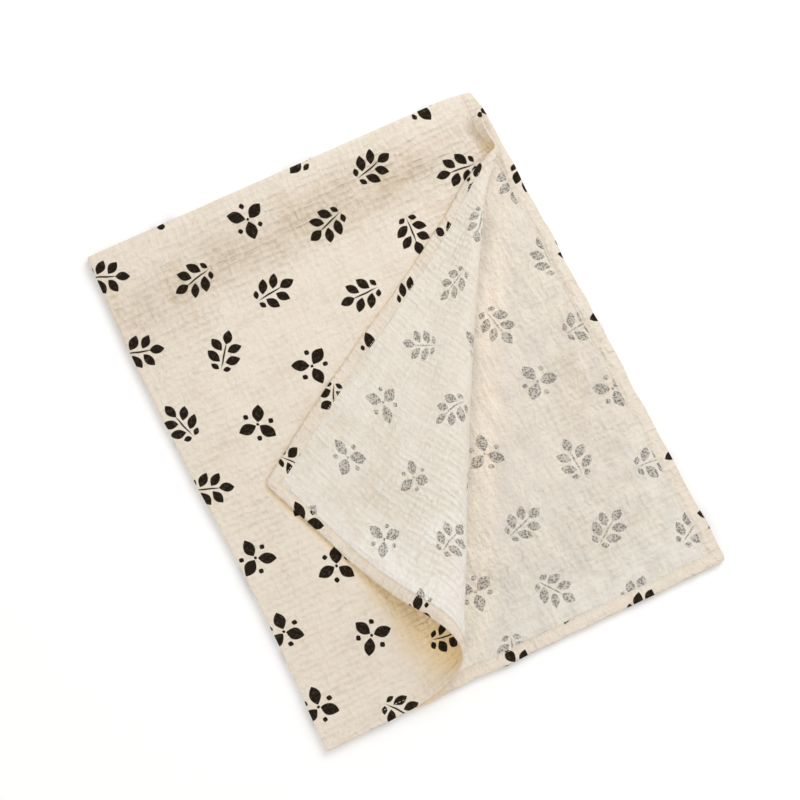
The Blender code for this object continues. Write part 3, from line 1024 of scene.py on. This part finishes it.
def shadeWrongSide(tree, base, place, across, down, under, tilt, ink):
    # the turned corner lies in cooler light than the layer under it
    flap = rescale(tree, calc(tree, "ADD", across, down), *shades["coolFlap"])
    foot = rescale(tree, down, *shades["coolFoot"])
    base = tint(tree, calc(tree, "MAXIMUM", flap, foot), base, "coolBack")
    # painted shade: the layer under it is darker in some places than in others
    underShadePatches = rescale(tree, stretched(tree, place, gauze["underShadePatchSizes"]), *shades["underShadePatches"])
    base = tint(tree, times(tree, under, underShadePatches), base, "paintedUnderShade")
    # light comes back from the loop, and through the side of the loop that is turned away
    back = attribute(tree, "bounce")
    bounce = times(tree, *(rescale(tree, back, *shades[name]) for name in ("bounce", "bounceLess")))
    beside = times(tree, under, rescale(tree, down, *shades["bounceDown"]))
    base = tint(tree, times(tree, bounce, beside), base, "bounce")
    # painted light: part of the turned corner made lighter and cooler, by v - u
    paintedFlapLightMask = rescale(tree, calc(tree, "SUBTRACT", down, across), *shades["paintedFlapLightMask"])
    paintedFlapLightMask = times(tree, paintedFlapLightMask, rescale(tree, under, 1.0, 0.0))
    base = tint(tree, paintedFlapLightMask, base, "paintedFlapLight")
    # painted light on the cloth turned away from the light, as it comes through the gauze, and painted
    # shade on the cloth turned to it
    evened = mixColour(
        tree, rescale(tree, tilt, *shades["tilt"]), colours["turnedAway"], colours["turnedTo"])
    base = mixColour(tree, 1.0, base, evened, "MULTIPLY")
    # the print shows through as a fine stipple
    stipple = addNode(tree, "TexVoronoi", {"feature": "F1"}, Vector=place, Scale=1 / shades["speckleSize"])
    speckle = rescale(tree, stipple.outputs["Distance"], *shades["speckle"])
    base = mixColour(tree, times(tree, ink, speckle), base, colours["inkBack"])
    # the turned edge of the hem throws a thin broken line of shade
    edge = calc(tree, "SUBTRACT", calc(tree, "MINIMUM", *hemDistances(tree, place)),
                cloth["hemWidth"] + cloth["hemStep"])
    line = rescale(tree, calc(tree, "ABSOLUTE", edge), *hem["line"])
    broken = rescale(tree, cloudy(tree, place, shades["brokenScale"], 2.0), *shades["broken"])
    return mixColour(tree, times(tree, line, broken), base, colours["hemShade"])


tossedLeaves = makeLeafPrint()
gauzeRelief = makeGauzeRelief()
rightSide = makeGauzeMaterial("printedGauze", wrong=False)
wrongSide = makeGauzeMaterial("gauzeBack", wrong=True)
print("materials ready")

clothPiece = makeCloth()
print("cloth made:", len(clothPiece.data.polygons), "faces")

stitch = {
    "length": 0.0026,
    "pitch": 0.0036,
    "radius": 0.00024,
    "sides": 5,
    "lift": 0.00006,
    "sink": 0.00016,
    "shoulders": (0.22, 0.78),  # where it is at its full thickness, in shares of its length
    "shoulderRise": 0.4,
    "wander": 0.0003,
    "wanderSize": 0.021,
    "strandScale": 900.0,
    "strandRelief": (0.5, 0.0002),
}


def stitchLine(first, last, seed):
    # the middles and the two ends of a row of stitches, in the flat cloth
    first, last = np.array(first), np.array(last)
    span = last - first
    length = np.hypot(*span)
    count = int(length / stitch["pitch"])
    starts = (np.arange(count) + 0.5) * length / count
    side = np.array((-span[1], span[0])) / length
    wander = stitch["wander"] * softNoise(starts, starts * 0, (stitch["wanderSize"], 1), seed)
    middles = first + span * (starts / length)[:, None] + side * wander[:, None]
    half = span / length * stitch["length"] / 2
    return middles - half, middles, middles + half


def makeStitches():
    # each stitch is a short rod with sunken ends, on both sides of the cloth
    right, foot = halfWidth - hem["stitchInset"], halfLength - hem["stitchInset"]
    rows = (
        ((right, -foot), (right, foot)), ((-right, foot), (-right, -foot)),
        ((right, foot), (-right, foot)), ((-right, -foot), (right, -foot)))
    places, faces = [], []
    count = stitch["sides"]
    for index, (first, last) in enumerate(rows):
        flats = stitchLine(first, last, index)
        ends = [clothPoints(*flat.T) for flat in flats]
        for side, depth in ((1, 0.0), (-1, hemDepth(flats[1][:, :1]))):
            line = [at + normal * (side * stitch["lift"] - depth) for at, normal in ends]
            normals = ends[1][1] * side
            along = line[2] - line[0]
            across = np.cross(normals, along)
            across /= np.linalg.norm(across, axis=1)[:, None]
            for item in range(len(along)):
                base = len(places)
                sunk = normals[item] * stitch["sink"]
                places += [line[0][item] - sunk, line[2][item] - sunk]
                for share in stitch["shoulders"]:
                    middle = line[0][item] + along[item] * share + sunk * stitch["shoulderRise"]
                    for place in range(count):
                        turn = 2 * math.pi * place / count
                        places.append(middle + stitch["radius"] * (
                            math.cos(turn) * across[item] + math.sin(turn) * normals[item]))
                for place in range(count):
                    after = (place + 1) % count
                    near, far = base + 2, base + 2 + count
                    faces += [(base, near + after, near + place), (base + 1, far + place, far + after),
                              (near + place, near + after, far + after, far + place)]
    data = bpy.data.meshes.new("hemStitching")
    data.from_pydata(places, [], faces)
    data.shade_smooth()
    data.materials.append(threadFinish)
    return addObject("hemStitching", data)


threadFinish, threadTree, threadSurface = newMaterial("cottonThread")
strands = cloudy(threadTree, addNode(threadTree, "TexCoord").outputs["Object"], stitch["strandScale"])
feed(threadTree, threadSurface.inputs["Base Color"], mixColour(
    threadTree, strands, colours["threadDeep"], colours["thread"]))
raiseSurface(threadTree, threadSurface, strands, *stitch["strandRelief"])
stitches = makeStitches()
print("hems stitched:", len(stitches.data.polygons), "faces")
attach(stitches, "root")

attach(clothPiece, "root")
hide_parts("swaddle_cloth")

# Floor, light and camera.
studio = {
    "floorSize": 8,
    "floorHeight": -0.0004,
    "floorColour": (0.95, 0.95, 0.95, 1),
    "floorRoughness": 0.9,
    "cameraHeight": 1.6,
    "frameWidth": 0.74,
    "lookAt": (-0.0009, 0.0099),
    "turn": -25.5,
    "sensor": 36.0,
    "worldStrength": 0.76,
}
lights = {
    "softKey": {"place": (0.95, 0.64, 1.4), "size": 1.1, "power": 16, "colour": (1, 1, 1)},
    "warmFill": {"place": (-1.3, -0.9, 0.5), "size": 1.0, "power": 4, "colour": (1.0, 0.9, 0.76)},
}
bpy.context.scene.view_settings.view_transform = "Standard"


def makeFloor():
    bpy.ops.mesh.primitive_plane_add(size=studio["floorSize"], location=(0, 0, studio["floorHeight"]))
    floor = bpy.context.object
    floor.name = "floor"
    material = bpy.data.materials.new("paleFloor")
    material.use_nodes = True
    surface = material.node_tree.nodes["Principled BSDF"]
    surface.inputs["Base Color"].default_value = studio["floorColour"]
    surface.inputs["Roughness"].default_value = studio["floorRoughness"]
    floor.data.materials.append(material)
    floor.select_set(False)
    return floor


def makeLight(name, place, size, power, colour):
    bpy.ops.object.light_add(type="AREA", location=place)
    light = bpy.context.object
    light.name = name
    light.data.size = size
    light.data.energy = power
    light.data.color = colour
    light.rotation_euler = (-Vector(place)).to_track_quat("-Z", "Y").to_euler()
    light.select_set(False)


makeFloor()
for name, settings in lights.items():
    makeLight(name, **settings)
world = bpy.data.worlds.new("studio")
world.use_nodes = True
background = world.node_tree.nodes["Background"]
background.inputs["Color"].default_value = (1, 1, 1, 1)
background.inputs["Strength"].default_value = studio["worldStrength"]
bpy.context.scene.world = world

camera = addObject("camera", bpy.data.cameras.new("camera"))
camera.location = (*studio["lookAt"], studio["cameraHeight"])
camera.rotation_euler = (0, 0, math.radians(studio["turn"]))
camera.data.sensor_width = studio["sensor"]
camera.data.lens = studio["sensor"] * studio["cameraHeight"] / studio["frameWidth"]
bpy.context.scene.camera = camera
print("studio ready")
